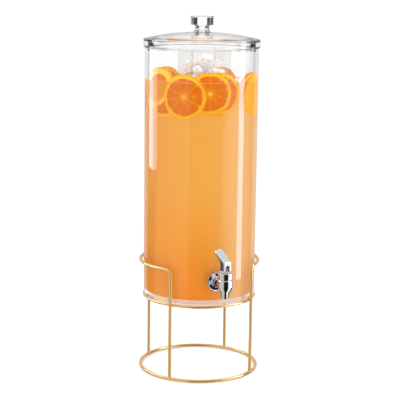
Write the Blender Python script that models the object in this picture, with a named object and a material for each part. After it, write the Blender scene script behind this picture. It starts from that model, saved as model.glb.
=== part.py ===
"""Beverage dispenser: clear jar on a wire stand, with an ice chamber, a lid and a self-closing tap.

Metres, +Z up. The origin is on the floor, under the middle of the whole object, and the tap faces -Y.
Heights are above the floor. Pieces that touch on the real object keep a gap of FIT between them.
"""
import math

import bmesh
import bpy
from mathutils import Matrix, Vector

FIT = 0.0003

SEGMENTS_LARGE = 72
SEGMENTS_RING = 64
SEGMENTS_TAP = 24
WIRE_SIDES = 8

# Wire stand
WIRE_R = 0.0030
BASE_RING_R = 0.1072
SUPPORT_RING_R = 0.1011
LEG_R = 0.1069
HOOP_R = 0.1076
HOOP_Z = 0.2020
BEND_R = 0.0100
LEG_AZIMUTHS = (math.radians(45), math.radians(135))

# Jar
JAR_OUTER_R = 0.1016
JAR_INNER_R = 0.0935
JAR_BOTTOM = 0.1400
JAR_TOP = 0.5870
JAR_FLOOR_THICK = 0.0077

# Ice chamber, a loose square tube standing on the jar's floor
CHAMBER_WIDTH = 0.0740
CHAMBER_WALL = 0.0030
CHAMBER_CORNER_R = 0.0025
CHAMBER_TOP = 0.5845
CHAMBER_X = 0.0040
CHAMBER_TURN = math.radians(4)

# Lid
LID_R = 0.1039
LID_INNER_R = 0.0880
LOCATING_R = 0.0900
LOCATING_INNER_R = 0.0866
LOCATING_DEPTH = 0.0040
LID_RIM_TOP = 0.6022
LID_EDGE = 0.0014
DOME_TOP = 0.6142
DOME_SPHERE_R = 0.4400
DOME_THICK = 0.0040

# Knob
KNOB_R = 0.0215
KNOB_NECK_R = 0.0132
KNOB_FOOT_R = 0.0170
KNOB_HEAD_BOTTOM = 0.6265
KNOB_TOP = 0.6420
KNOB_EDGE = 0.0026

# Tap, upright axis at TAP_REACH from the jar's axis
TAP_REACH = 0.1560
TAP_BODY_R = 0.0132
SHANK_Z = 0.1840
SHANK_R = 0.0066
SHANK_BORE_R = 0.0034
SHANK_END = 0.0800
FLANGE_BACK = 0.1040
FLANGE_R = 0.0172
FLANGE_HUB_R = 0.0098
GASKET_R = 0.0148
INNER_GASKET_R = 0.0125
INNER_GASKET_FACE = 0.0902
NUT_THICK = 0.0070
NUT_CORNER_R = 0.0125
SPOUT_BOTTOM = 0.1670
SPOUT_BORE_R = 0.0044
SEAT_BOTTOM = 0.1785
SEAT_TOP = 0.1810
CHAMBER_BORE_R = 0.0084
BODY_TOP = 0.2004
BONNET_R = 0.0127
BONNET_TOP = 0.2124
SPRING_ROOM_R = 0.0063
SPRING_ROOM_TOP = 0.2060
STEM_R = 0.0032
STEM_BOTTOM = 0.1818
STEM_TOP = 0.2245
PIN_Z = 0.2210
PIN_R = 0.00125
PIN_HALF_LENGTH = 0.0072
CUP_R = 0.0076
CUP_TOP = 0.1860
SPRING_R = 0.0052
SPRING_WIRE_R = 0.0005
SPRING_TURNS = 5
WASHER_R = 0.0106
WASHER_THICK = 0.0025

# Lever
LEVER_TURN = math.radians(15)
LEVER_HALF_WIDTH = 0.0075
LEVER_HALF_DEPTH = 0.00625
FORK_HALF_SLOT = 0.0041
FORK_SLOT_TOP = 0.2276

# The box around everything is centred on the origin, so the jar stands behind it
RING_FLAT_R = WIRE_R * math.cos(math.pi / WIRE_SIDES)
JAR_Y = (TAP_REACH + TAP_BODY_R - BASE_RING_R - RING_FLAT_R) / 2
TAP_Y = JAR_Y - TAP_REACH


MATERIALS = {
    "gold_wire": ((0.80, 0.58, 0.28), 0.18, 1.0, 1.0),
    "clear_acrylic": ((0.93, 0.95, 0.96), 0.04, 0.0, 0.35),
    "chrome": ((0.82, 0.82, 0.84), 0.06, 1.0, 1.0),
    "silicone": ((0.82, 0.80, 0.76), 0.45, 0.0, 1.0),
    "steel": ((0.62, 0.62, 0.63), 0.25, 1.0, 1.0),
    "tan_plastic": ((0.66, 0.58, 0.50), 0.35, 0.0, 1.0),
    "white_nylon": ((0.86, 0.86, 0.84), 0.40, 0.0, 1.0),
}


def clear_scene():
    for obj in list(bpy.data.objects):
        bpy.data.objects.remove(obj, do_unlink=True)


def material(name):
    if name in bpy.data.materials:
        return bpy.data.materials[name]
    colour, roughness, metallic, alpha = MATERIALS[name]
    mat = bpy.data.materials.new(name)
    mat.use_nodes = True
    shader = mat.node_tree.nodes["Principled BSDF"]
    shader.inputs["Base Color"].default_value = (*colour, 1.0)
    shader.inputs["Roughness"].default_value = roughness
    shader.inputs["Metallic"].default_value = metallic
    shader.inputs["Alpha"].default_value = alpha
    return mat


def add_object(name, bm, finish, matrix):
    """Turns a bmesh into a named object; without a finish it is a cutter, which the model leaves out."""
    bmesh.ops.recalc_face_normals(bm, faces=bm.faces)
    mesh = bpy.data.meshes.new(name)
    bm.to_mesh(mesh)
    bm.free()
    mesh.shade_smooth()
    mesh.set_sharp_from_angle(angle=math.radians(35))
    obj = bpy.data.objects.new(name, mesh)
    obj.matrix_world = matrix
    bpy.context.scene.collection.objects.link(obj)
    if finish:
        mesh.materials.append(material(finish))
    else:
        obj.hide_render = True
        obj.display_type = "WIRE"
    return obj


def lathe(name, profile, finish, matrix, segments=SEGMENTS_TAP):
    """Turns a closed profile of (radius, height) points about the local Z axis."""
    bm = bmesh.new()
    rings = []
    for radius, height in profile:
        if radius == 0:
            rings.append([bm.verts.new((0, 0, height))])
            continue
        angles = [2 * math.pi * k / segments for k in range(segments)]
        rings.append([bm.verts.new((radius * math.cos(a), radius * math.sin(a), height)) for a in angles])
    for lower, upper in zip(rings, rings[1:] + rings[:1]):
        if len(lower) == 1 and len(upper) == 1:
            continue
        for k in range(segments):
            corners = [lower[k % len(lower)], lower[(k + 1) % len(lower)]]
            corners += [upper[(k + 1) % len(upper)], upper[k % len(upper)]]
            bm.faces.new(list(dict.fromkeys(corners)))
    return add_object(name, bm, finish, matrix)


def loft(name, sections, finish, matrix):
    """Skins a list of sections with equal numbers of points and closes both ends."""
    bm = bmesh.new()
    rings = [[bm.verts.new(point) for point in section] for section in sections]
    count = len(rings[0])
    for lower, upper in zip(rings, rings[1:]):
        for k in range(count):
            bm.faces.new((lower[k], lower[(k + 1) % count], upper[(k + 1) % count], upper[k]))
    bm.faces.new(rings[0])
    bm.faces.new(rings[-1])
    return add_object(name, bm, finish, matrix)


def sweep(name, path, radius, sides, finish, matrix):
    """Runs a round section along a path that starts beside the local Z axis, with as little twist as it can."""
    tangents = [(path[min(k + 1, len(path) - 1)] - path[max(k - 1, 0)]).normalized() for k in range(len(path))]
    side = Vector((path[0].x, path[0].y, 0))
    sections = []
    for point, tangent in zip(path, tangents):
        side = (side - tangent * side.dot(tangent)).normalized()
        other = tangent.cross(side)
        angles = [2 * math.pi * (k + 0.5) / sides for k in range(sides)]
        sections.append([point + radius * (math.cos(a) * side + math.sin(a) * other) for a in angles])
    return loft(name, sections, finish, matrix)


def rounded_rectangle(half_x, half_y, corner, points=4):
    """Outline of a rectangle with round corners, anticlockwise, as (x, y) pairs."""
    outline = []
    for quarter, (sign_x, sign_y) in enumerate(((1, 1), (-1, 1), (-1, -1), (1, -1))):
        for k in range(points):
            angle = math.pi / 2 * (quarter + k / (points - 1))
            x = sign_x * (half_x - corner) + corner * math.cos(angle)
            y = sign_y * (half_y - corner) + corner * math.sin(angle)
            outline.append((x, y))
    return outline


def boolean(obj, other, operation="DIFFERENCE"):
    modifier = obj.modifiers.new(other.name, "BOOLEAN")
    modifier.operation = operation
    modifier.object = other
    modifier.solver = "EXACT"


def round_wire(ring_r, height):
    """Section of a wire ring, with one of its flat sides underneath to stand on."""
    angles = [2 * math.pi * (k + 0.5) / WIRE_SIDES for k in range(WIRE_SIDES)]
    return [(ring_r + WIRE_R * math.cos(a), height + WIRE_R * math.sin(a)) for a in angles]


def arc_points(centre, radius, start, end, steps):
    """Points of an arc in the (radius, height) plane, angles in degrees."""
    angles = [math.radians(start + (end - start) * k / steps) for k in range(steps + 1)]
    return [(centre[0] + radius * math.cos(a), centre[1] + radius * math.sin(a)) for a in angles]


def build_stand(axis):
    base_z = RING_FLAT_R
    support_z = JAR_BOTTOM - FIT - RING_FLAT_R
    lathe("base_ring", round_wire(BASE_RING_R, base_z), "gold_wire", axis, SEGMENTS_RING)
    lathe("support_ring", round_wire(SUPPORT_RING_R, support_z), "gold_wire", axis, SEGMENTS_RING)
    for name, side in (("left_hoop", -1), ("right_hoop", 1)):
        path = hoop_path(side, 2 * RING_FLAT_R + FIT)
        sweep(name, path, WIRE_R, WIRE_SIDES, "gold_wire", axis)


def hoop_path(side, foot_z):
    """One wire: up the front leg, back along the jar's side, and down the rear leg."""
    def at(azimuth, radius, height):
        return Vector((side * radius * math.sin(azimuth), -radius * math.cos(azimuth), height))

    bend_steps, side_steps = 5, 16
    start, end = LEG_AZIMUTHS
    leg = [(start, LEG_R, foot_z + (HOOP_Z - BEND_R - foot_z) * k / 2) for k in range(2)]
    bend = []
    for k in range(bend_steps + 1):
        turn = math.pi / 2 * k / bend_steps
        run = BEND_R * (1 - math.cos(turn))
        radius = LEG_R + (HOOP_R - LEG_R) * k / bend_steps
        bend.append((start + run / HOOP_R, radius, HOOP_Z - BEND_R + BEND_R * math.sin(turn)))
    first, last = bend[-1][0], start + end - bend[-1][0]
    middle = [(first + (last - first) * k / side_steps, HOOP_R, HOOP_Z) for k in range(1, side_steps)]
    half = leg + bend
    mirrored = [(start + end - azimuth, radius, height) for azimuth, radius, height in reversed(half)]
    return [at(*point) for point in half + middle + mirrored]


def build_jar(axis):
    section = ring_profile(JAR_INNER_R, JAR_OUTER_R, JAR_BOTTOM, JAR_TOP)
    wall = lathe("jar_wall", section, "clear_acrylic", axis, SEGMENTS_LARGE)
    hole = lathe("shank_hole", solid_rod(SHANK_R + FIT, 0.080, 0.120), None, tap_horizontal(axis))
    boolean(wall, hole)
    floor_r = JAR_INNER_R - FIT
    floor_bottom = JAR_BOTTOM + FIT
    lathe("jar_floor", solid_rod(floor_r, floor_bottom, floor_bottom + JAR_FLOOR_THICK), "clear_acrylic",
          axis, SEGMENTS_LARGE)


def solid_rod(radius, start, end):
    return [(0, start), (radius, start), (radius, end), (0, end)]


def ring_profile(inner, outer, start, end):
    return [(inner, start), (outer, start), (outer, end), (inner, end)]


def tap_horizontal(axis):
    """Frame whose +Z runs from the jar's axis out through the shank."""
    return axis @ Matrix.Translation((0, 0, SHANK_Z)) @ Matrix.Rotation(math.radians(90), 4, "X")


def build_chamber(axis):
    place = axis @ Matrix.Translation((CHAMBER_X, 0, 0)) @ Matrix.Rotation(CHAMBER_TURN, 4, "Z")
    bottom = JAR_BOTTOM + 2 * FIT + JAR_FLOOR_THICK
    half = CHAMBER_WIDTH / 2
    inner_corner = CHAMBER_CORNER_R / 2

    def prism(name, half_width, corner, start, end, finish):
        outline = rounded_rectangle(half_width, half_width, corner)
        return loft(name, [[(x, y, z) for x, y in outline] for z in (start, end)], finish, place)

    tube = prism("ice_tube", half, CHAMBER_CORNER_R, bottom, CHAMBER_TOP, "clear_acrylic")
    bore = prism("ice_bore", half - CHAMBER_WALL, inner_corner, bottom - 0.01, CHAMBER_TOP + 0.01, None)
    boolean(tube, bore)
    prism("ice_tube_floor", half - CHAMBER_WALL - FIT, inner_corner, bottom, bottom + CHAMBER_WALL,
          "clear_acrylic")


def dome_height(radius):
    return DOME_TOP - DOME_SPHERE_R + math.sqrt(DOME_SPHERE_R ** 2 - radius ** 2)


def build_lid(axis):
    seat = JAR_TOP + FIT
    dome_start = LID_R - LID_EDGE
    ceiling_r = LID_INNER_R - 0.004
    outer_dome = [(dome_start * k / 4, dome_height(dome_start * k / 4)) for k in range(4, -1, -1)]
    inner_dome = [(ceiling_r * k / 3, dome_height(ceiling_r * k / 3) - DOME_THICK) for k in range(4)]
    profile = [(LID_INNER_R, seat)] + arc_points((LID_R - LID_EDGE, seat + LID_EDGE), LID_EDGE, -90, 0, 2)
    profile += arc_points((LID_R - LID_EDGE, LID_RIM_TOP - LID_EDGE), LID_EDGE, 0, 60, 2)
    profile += outer_dome + inner_dome + [(LID_INNER_R, dome_height(LID_INNER_R) - DOME_THICK - 0.004)]
    lathe("lid", profile, "clear_acrylic", axis, SEGMENTS_LARGE)
    ring_bottom, ring_top = JAR_TOP - LOCATING_DEPTH, seat - FIT
    ring = [(LOCATING_INNER_R, ring_bottom), (LOCATING_R, ring_bottom)]
    ring += [(LOCATING_R, ring_top), (LOCATING_INNER_R, ring_top)]
    lathe("lid_locating_ring", ring, "clear_acrylic", axis, SEGMENTS_LARGE)

    def foot(radius):
        return (radius, dome_height(radius) + FIT)

    neck_z = (KNOB_HEAD_BOTTOM + foot(KNOB_FOOT_R)[1]) / 2
    knob = [foot(0), foot(KNOB_FOOT_R / 2), foot(KNOB_FOOT_R)]
    sweep_up = neck_z - foot(KNOB_FOOT_R)[1]
    for k in range(1, 4):
        turn = math.pi * k / 6
        height = foot(KNOB_FOOT_R)[1] + sweep_up * (1 - math.cos(turn))
        knob.append((KNOB_FOOT_R - (KNOB_FOOT_R - KNOB_NECK_R) * math.sin(turn), height))
    knob.append((KNOB_NECK_R + 0.0006, KNOB_HEAD_BOTTOM - 0.0016))
    knob += arc_points((KNOB_R - KNOB_EDGE, KNOB_HEAD_BOTTOM + KNOB_EDGE), KNOB_EDGE, -90, 0, 2)
    knob += arc_points((KNOB_R - KNOB_EDGE, KNOB_TOP - KNOB_EDGE), KNOB_EDGE, 0, 90, 2)
    knob.append((0, KNOB_TOP))
    lathe("lid_knob", knob, "clear_acrylic", axis, 32)


def build_tap_body(axis, tap):
    shell = [
        (0, SPOUT_BOTTOM), (0.0063, SPOUT_BOTTOM), (0.0066, 0.1690), (0.0074, 0.1717), (0.0091, 0.1763),
        (0.0120, 0.1820), (0.0130, 0.1857), (TAP_BODY_R, 0.1890), (0.0129, 0.1947), (0.0124, 0.1987),
        (0.0120, BODY_TOP), (0, BODY_TOP),
    ]
    body = lathe("faucet_body", shell, "chrome", tap)
    outward = tap_horizontal(axis)
    shank = lathe("shank_blank", solid_rod(SHANK_R, SHANK_END, TAP_REACH - 0.004), None, outward)
    waterway = [
        (0, SPOUT_BOTTOM - 0.01), (SPOUT_BORE_R, SPOUT_BOTTOM - 0.01), (SPOUT_BORE_R, SEAT_BOTTOM),
        (CHAMBER_BORE_R, SEAT_TOP), (CHAMBER_BORE_R, BODY_TOP + 0.01), (0, BODY_TOP + 0.01),
    ]
    boolean(body, shank, "UNION")
    boolean(body, lathe("waterway_cutter", waterway, None, tap))
    inlet = solid_rod(SHANK_BORE_R, SHANK_END - 0.01, TAP_REACH - 0.004)
    boolean(body, lathe("inlet_cutter", inlet, None, outward, 16))


def build_tap_fixings(axis):
    outward = tap_horizontal(axis)
    bore = SHANK_R + FIT
    flange = [
        (bore, FLANGE_BACK), (FLANGE_R - 0.0006, FLANGE_BACK), (FLANGE_R, FLANGE_BACK + 0.0006),
        (FLANGE_R, 0.1062), (FLANGE_R - 0.0007, 0.1069), (FLANGE_R - 0.0016, 0.1068), (FLANGE_R - 0.0030, 0.1058),
        (FLANGE_R - 0.0046, 0.1055), (FLANGE_HUB_R, 0.1060), (FLANGE_HUB_R - 0.0004, 0.1088), (0.0088, 0.1094),
        (bore, 0.1094),
    ]
    lathe("faucet_flange", flange, "chrome", outward)
    gasket = lathe("outer_gasket", ring_profile(bore, GASKET_R, 0.0990, FLANGE_BACK - FIT), "silicone", outward)
    tall = (JAR_BOTTOM, JAR_BOTTOM + 0.1)
    boolean(gasket, lathe("outside_of_wall", solid_rod(JAR_OUTER_R + FIT, *tall), None, axis, 96))
    inner = lathe("inner_gasket", ring_profile(bore, INNER_GASKET_R, INNER_GASKET_FACE, 0.0950), "silicone",
                  outward)
    boolean(inner, lathe("inside_of_wall", solid_rod(JAR_INNER_R - FIT, *tall), None, axis, 96), "INTERSECT")
    nut_face = INNER_GASKET_FACE - FIT
    nut = lathe("lock_nut", solid_rod(NUT_CORNER_R, nut_face - NUT_THICK, nut_face), "white_nylon", outward, 6)
    boolean(nut, lathe("nut_bore", solid_rod(bore, SHANK_END - 0.01, JAR_INNER_R), None, outward))


def build_valve(tap, turned):
    plug_bottom, plug_r = 0.1965, CHAMBER_BORE_R - FIT
    bonnet_seat, stem_bore = BODY_TOP + FIT, STEM_R + FIT
    bonnet = [
        (stem_bore, SPRING_ROOM_TOP), (SPRING_ROOM_R, SPRING_ROOM_TOP), (SPRING_ROOM_R, plug_bottom),
        (plug_r, plug_bottom), (plug_r, bonnet_seat), (BONNET_R - 0.0004, bonnet_seat),
        (BONNET_R, bonnet_seat + 0.0005), (BONNET_R, BONNET_TOP - 0.0010), (BONNET_R - 0.0010, BONNET_TOP),
        (stem_bore, BONNET_TOP),
    ]
    lathe("faucet_bonnet", bonnet, "chrome", tap)
    washer_z = BONNET_TOP + FIT
    washer = ring_profile(stem_bore, WASHER_R, washer_z, washer_z + WASHER_THICK)
    lathe("wear_washer", washer, "tan_plastic", tap)

    cup_rise = (CUP_R - SPOUT_BORE_R) / (CHAMBER_BORE_R - SPOUT_BORE_R) * (SEAT_TOP - SEAT_BOTTOM)
    cup = [
        (0, SEAT_BOTTOM + FIT + 0.0001), (SPOUT_BORE_R - 0.0002, SEAT_BOTTOM + FIT + 0.0001),
        (CUP_R, SEAT_BOTTOM + cup_rise + FIT + 0.0002), (CUP_R, CUP_TOP), (stem_bore, CUP_TOP),
        (stem_bore, STEM_BOTTOM - FIT), (0, STEM_BOTTOM - FIT),
    ]
    lathe("seat_cup", cup, "silicone", tap, 16)

    stem = lathe("valve_stem", solid_rod(STEM_R, STEM_BOTTOM, STEM_TOP), "chrome", turned, 16)
    crosswise = turned @ Matrix.Translation((0, 0, PIN_Z)) @ Matrix.Rotation(math.radians(90), 4, "Y")
    pin_hole = lathe("pin_hole", solid_rod(PIN_R + FIT, -0.010, 0.010), None, crosswise, 12)
    boolean(stem, pin_hole)
    lathe("lever_pin", solid_rod(PIN_R, -PIN_HALF_LENGTH, PIN_HALF_LENGTH), "steel", crosswise, 12)
    build_spring(tap)
    build_lever(turned, pin_hole)


def build_spring(tap):
    low = CUP_TOP + FIT + SPRING_WIRE_R
    high = SPRING_ROOM_TOP - FIT - SPRING_WIRE_R
    per_turn = 12
    steps = SPRING_TURNS * per_turn
    path = []
    for k in range(steps + 1):
        angle = 2 * math.pi * k / per_turn
        height = low + (high - low) * k / steps
        path.append(Vector((SPRING_R * math.cos(angle), SPRING_R * math.sin(angle), height)))
    sweep("valve_spring", path, SPRING_WIRE_R, 5, "steel", tap)


def build_lever(turned, pin_hole):
    """Forked block over the stem, and a thumb paddle that leans back from its top.

    Each station is (front u, front z, back u, back z, half width), with u running back to the jar.
    """
    bottom = BONNET_TOP + WASHER_THICK + 2 * FIT
    half, depth = LEVER_HALF_WIDTH, LEVER_HALF_DEPTH
    stations = (
        (-depth, bottom, depth, bottom, half), (-depth, 0.2225, depth, 0.2220, half),
        (-depth, 0.2297, depth, 0.2285, half), (-0.0052, 0.2315, 0.0076, 0.2306, half),
        (-0.0015, 0.2340, 0.0106, 0.2328, 0.0077), (0.0048, 0.2383, 0.0148, 0.2356, 0.0081),
        (0.0110, 0.2428, 0.0190, 0.2385, 0.0087), (0.0170, 0.2472, 0.0228, 0.2414, 0.0086),
        (0.0208, 0.2498, 0.0252, 0.2440, 0.0074), (0.0232, 0.2507, 0.0264, 0.2464, 0.0052),
        (0.0247, 0.2505, 0.0266, 0.2481, 0.0028),
    )
    sections = []
    for front_u, front_z, back_u, back_z, width in stations:
        front, back = Vector((0, front_u, front_z)), Vector((0, back_u, back_z))
        middle, half_depth = (front + back) / 2, (back - front).length / 2
        across = (back - front).normalized()
        corner = 0.0012 if front_z < 0.2300 else 0.7 * min(half_depth, width)
        outline = rounded_rectangle(width, half_depth, corner)
        sections.append([middle + Vector((x, 0, 0)) + across * y for x, y in outline])
    lever = loft("faucet_lever", sections, "chrome", turned)
    slot_height = FORK_SLOT_TOP - bottom + 0.01
    bm = bmesh.new()
    bmesh.ops.create_cube(bm, size=1)
    bmesh.ops.scale(bm, verts=bm.verts, vec=(2 * FORK_HALF_SLOT, 0.04, slot_height))
    slot = add_object("fork_slot", bm, None,
                      turned @ Matrix.Translation((0, 0, FORK_SLOT_TOP - slot_height / 2)))
    boolean(lever, slot)
    boolean(lever, pin_hole)


def main():
    clear_scene()
    axis = Matrix.Translation((0, JAR_Y, 0))
    tap = Matrix.Translation((0, TAP_Y, 0))
    turned = tap @ Matrix.Rotation(LEVER_TURN, 4, "Z")
    build_stand(axis)
    build_jar(axis)
    build_chamber(axis)
    build_lid(axis)
    build_tap_body(axis, tap)
    build_tap_fixings(axis)
    build_valve(tap, turned)


main()
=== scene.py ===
"""Looks of the beverage dispenser: clear jar, gold wire stand, chrome tap, orange drink, fruit and ice."""
import math
import random

import bmesh
import bpy
from mathutils import Matrix, Vector, noise


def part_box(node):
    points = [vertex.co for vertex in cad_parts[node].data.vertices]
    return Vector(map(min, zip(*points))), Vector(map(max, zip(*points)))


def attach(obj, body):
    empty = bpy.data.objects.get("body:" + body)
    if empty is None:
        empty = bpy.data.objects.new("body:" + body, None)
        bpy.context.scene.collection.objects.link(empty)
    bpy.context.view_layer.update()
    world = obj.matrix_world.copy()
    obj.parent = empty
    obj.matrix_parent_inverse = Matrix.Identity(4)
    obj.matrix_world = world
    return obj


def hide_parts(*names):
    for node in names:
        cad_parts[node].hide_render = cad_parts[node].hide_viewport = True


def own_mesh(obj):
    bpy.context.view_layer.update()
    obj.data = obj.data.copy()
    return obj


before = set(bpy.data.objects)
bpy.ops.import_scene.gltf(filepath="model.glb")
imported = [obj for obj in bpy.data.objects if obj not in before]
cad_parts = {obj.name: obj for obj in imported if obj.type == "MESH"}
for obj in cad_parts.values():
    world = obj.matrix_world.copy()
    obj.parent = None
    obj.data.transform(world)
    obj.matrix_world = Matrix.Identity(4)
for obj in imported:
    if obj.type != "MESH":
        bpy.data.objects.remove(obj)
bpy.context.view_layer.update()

# ---------------------------------------------------------------- measures read from the frame
jar_lo, jar_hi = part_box("jar_wall")
AXIS_Y = (jar_lo.y + jar_hi.y) / 2
JAR_R = (jar_hi.x - jar_lo.x) / 2
FIT = 0.0003  # the CAD leaves this gap between pieces that touch
floor_lo, floor_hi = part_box("jar_floor")
JAR_INNER_R = (floor_hi.x - floor_lo.x) / 2 + FIT
body_lo, body_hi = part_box("faucet_body")
BODY_R = (body_hi.x - body_lo.x) / 2
TAP_Y = body_lo.y + BODY_R
JAR = Matrix.Translation((0, AXIS_Y, 0))
TAP = Matrix.Translation((0, TAP_Y, 0))
SHANK_Z = sum(corner.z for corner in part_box("lock_nut")) / 2
UPRIGHT = Matrix.Rotation(math.radians(90), 4, "X")
SHANK = JAR @ Matrix.Translation((0, 0, SHANK_Z)) @ UPRIGHT

# ---------------------------------------------------------------- measures that no box gives
WIRE_R = 0.0030
LEG_R = 0.1069
LEG_BEND_R = 0.0100
LEG_AZIMUTHS = (math.radians(45), math.radians(135))
LID_INNER_R = 0.0880
LID_RIM_TOP = 0.6022
LID_EDGE = 0.0014
DOME_SPHERE_R = 0.440
DOME_THICK = 0.0040
LOCATING_INNER_R = 0.0866
KNOB_NECK_R = 0.0132
KNOB_FOOT_R = 0.0170
KNOB_EDGE = 0.0026
KNOB_HEAD_BOTTOM = 0.6265
SHANK_R = 0.0066
SHANK_BORE_R = 0.0034
SHANK_END = 0.0800
SPOUT_BORE_R = 0.0044
SEAT_BOTTOM = 0.1785
SEAT_TOP = 0.1810
CHAMBER_BORE_R = 0.0084
SPRING_ROOM_R = 0.0063
SPRING_ROOM_TOP = 0.2060
SPRING_WIRE_R = 0.0005
SPRING_TURNS = 5
STEM_HOLE_R = 0.0035
LEVER_TURN = math.radians(15)
LEVER_HALF_WIDTH = 0.0075
LEVER_HALF_DEPTH = 0.00625
FORK_HALF_SLOT = 0.0041
FORK_SLOT_TOP = 0.2276
LEVER = TAP @ Matrix.Rotation(LEVER_TURN, 4, "Z")
CHAMBER_TURN = math.radians(4)

# ---------------------------------------------------------------- drink and studio
DRINK_TOP = 0.530
DRINK_SKIN = 0.0010
DRINK_CREEP = 0.0012  # how far the drink creeps up the wall
CAMERA_AZIMUTH = math.radians(-16.8)
DIFFUSE_LEVEL = 1.45
BACKDROP_LEVEL = 1.05
# azimuth round the object, counted from the camera to its right, and how bright that side of the studio looks
STUDIO_BANDS = [
    (-180, 0.66), (-140, 0.70), (-132, 0.05), (-106, (0.10, 0.11, 0.14)), (-98, (0.72, 0.70, 0.67)),
    (-24, (0.60, 0.56, 0.51)), (-20, 0.012), (40, 0.012), (57, 1.25), (78, 1.2),
    (92, 1.0), (96, 0.03), (128, 0.05), (136, 0.70), (180, 0.66),
]
# the same, for what is seen through clear parts
STUDIO_THROUGH = [
    (-180, 1.05), (-170, 1.03), (-155, 0.88), (-142, 0.66), (-130, 0.66), (-114, 0.98),
    (114, 0.98), (130, 0.64), (142, 0.64), (155, 0.86), (170, 1.03), (180, 1.05),
]

random.seed(7)


# ---------------------------------------------------------------- mesh helpers
def add_object(name, bm, matrix, mat=None, sharp=35):
    bmesh.ops.recalc_face_normals(bm, faces=bm.faces)
    mesh = bpy.data.meshes.new(name)
    bm.to_mesh(mesh)
    bm.free()
    mesh.shade_smooth()
    mesh.set_sharp_from_angle(angle=math.radians(sharp))
    obj = bpy.data.objects.new(name, mesh)
    obj.matrix_world = matrix
    bpy.context.scene.collection.objects.link(obj)
    if mat:
        mesh.materials.append(mat)
    return obj


def piece(obj, body, replaced=None):
    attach(obj, body)
    if replaced:
        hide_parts(replaced)


def ring_angles(count):
    return [2 * math.pi * k / count for k in range(count)]


def polar(radius, angle):
    return radius * math.cos(angle), radius * math.sin(angle)


def held(profile):
    """Adds a point near each end of long straight runs, so that they shade flat up to their rounded edges."""
    inset, shortest = 0.0005, 0.0045
    out = []
    for (r0, z0), (r1, z1) in zip(profile, profile[1:] + profile[:1]):
        out.append((r0, z0))
        length = math.hypot(r1 - r0, z1 - z0)
        if length > shortest and max(r0, r1) > 0:
            out += [(r0 + (r1 - r0) * t, z0 + (z1 - z0) * t) for t in (inset / length, 1 - inset / length)]
    return out


def lathe(name, profile, matrix, mat, segments):
    """Turns a closed profile of (radius, height) points about the local Z axis."""
    bm = bmesh.new()
    rings = []
    for radius, height in held(profile):
        if radius < 1e-7:
            rings.append([bm.verts.new((0, 0, height))])
            continue
        rings.append([bm.verts.new((*polar(radius, a), height)) for a in ring_angles(segments)])
    for lower, upper in zip(rings, rings[1:] + rings[:1]):
        if len(lower) == 1 and len(upper) == 1:
            continue
        for k in range(segments):
            corners = [lower[k % len(lower)], lower[(k + 1) % len(lower)]]
            corners += [upper[(k + 1) % len(upper)], upper[k % len(upper)]]
            bm.faces.new(list(dict.fromkeys(corners)))
    return add_object(name, bm, matrix, mat)


def loft(name, sections, matrix, mat, sharp=35):
    bm = bmesh.new()
    rings = [[bm.verts.new(point) for point in section] for section in sections]
    count = len(rings[0])
    for lower, upper in zip(rings, rings[1:]):
        for k in range(count):
            bm.faces.new((lower[k], lower[(k + 1) % count], upper[(k + 1) % count], upper[k]))
    bm.faces.new(rings[0])
    bm.faces.new(rings[-1])
    return add_object(name, bm, matrix, mat, sharp)


def sweep(name, path, radii, sides, matrix, mat):
    """Runs a round section along a path, with one radius for each point."""
    last = len(path) - 1
    tangents = [(path[min(k + 1, last)] - path[max(k - 1, 0)]).normalized() for k in range(len(path))]
    side = Vector((path[0].x, path[0].y, 0))
    sections = []
    for point, tangent, radius in zip(path, tangents, radii):
        side = (side - tangent * side.dot(tangent)).normalized()
        other = tangent.cross(side)
        sections.append([point + radius * (math.cos(a) * side + math.sin(a) * other)
                         for a in ring_angles(sides)])
    return loft(name, sections, matrix, mat)


def arc(centre, radius, start, end, steps):
    """Points of an arc in the (radius, height) plane, angles in degrees."""
    angles = [math.radians(start + (end - start) * k / steps) for k in range(steps + 1)]
    return [(centre[0] + radius * math.cos(a), centre[1] + radius * math.sin(a)) for a in angles]


def smooth_curve(points, per_span):
    """Catmull-Rom curve through points of any dimension."""
    ends = [points[0], *points, points[-1]]
    out = []
    for a, b, c, d in zip(ends, ends[1:], ends[2:], ends[3:]):
        for k in range(per_span):
            t = k / per_span
            out.append(tuple(
                0.5 * (2 * q + (r - p) * t + (2 * p - 5 * q + 4 * r - s) * t ** 2
                       + (3 * q - p - 3 * r + s) * t ** 3)
                for p, q, r, s in zip(a, b, c, d)))
    return out + [tuple(points[-1])]


def cut(obj, cutter):
    """Subtracts the cutter from the object for good, then removes the cutter."""
    modifier = obj.modifiers.new("cut", "BOOLEAN")
    modifier.object = cutter
    modifier.solver = "EXACT"
    graph = bpy.context.evaluated_depsgraph_get()
    mesh = bpy.data.meshes.new_from_object(obj.evaluated_get(graph), depsgraph=graph)
    obj.modifiers.clear()
    obj.data = mesh
    bpy.data.objects.remove(cutter)
    mesh.shade_smooth()
    mesh.set_sharp_from_angle(angle=math.radians(35))


# ---------------------------------------------------------------- materials
def fill_ramp(node, stops):
    """Sets a colour ramp's stops, each a position and a colour or a grey value."""
    elements = node.color_ramp.elements
    while len(elements) < len(stops):
        elements.new(0.5)
    for element, (position, value) in zip(elements, stops):
        element.position = position
        element.color = (*value, 1) if isinstance(value, tuple) else (value, value, value, 1)


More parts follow.
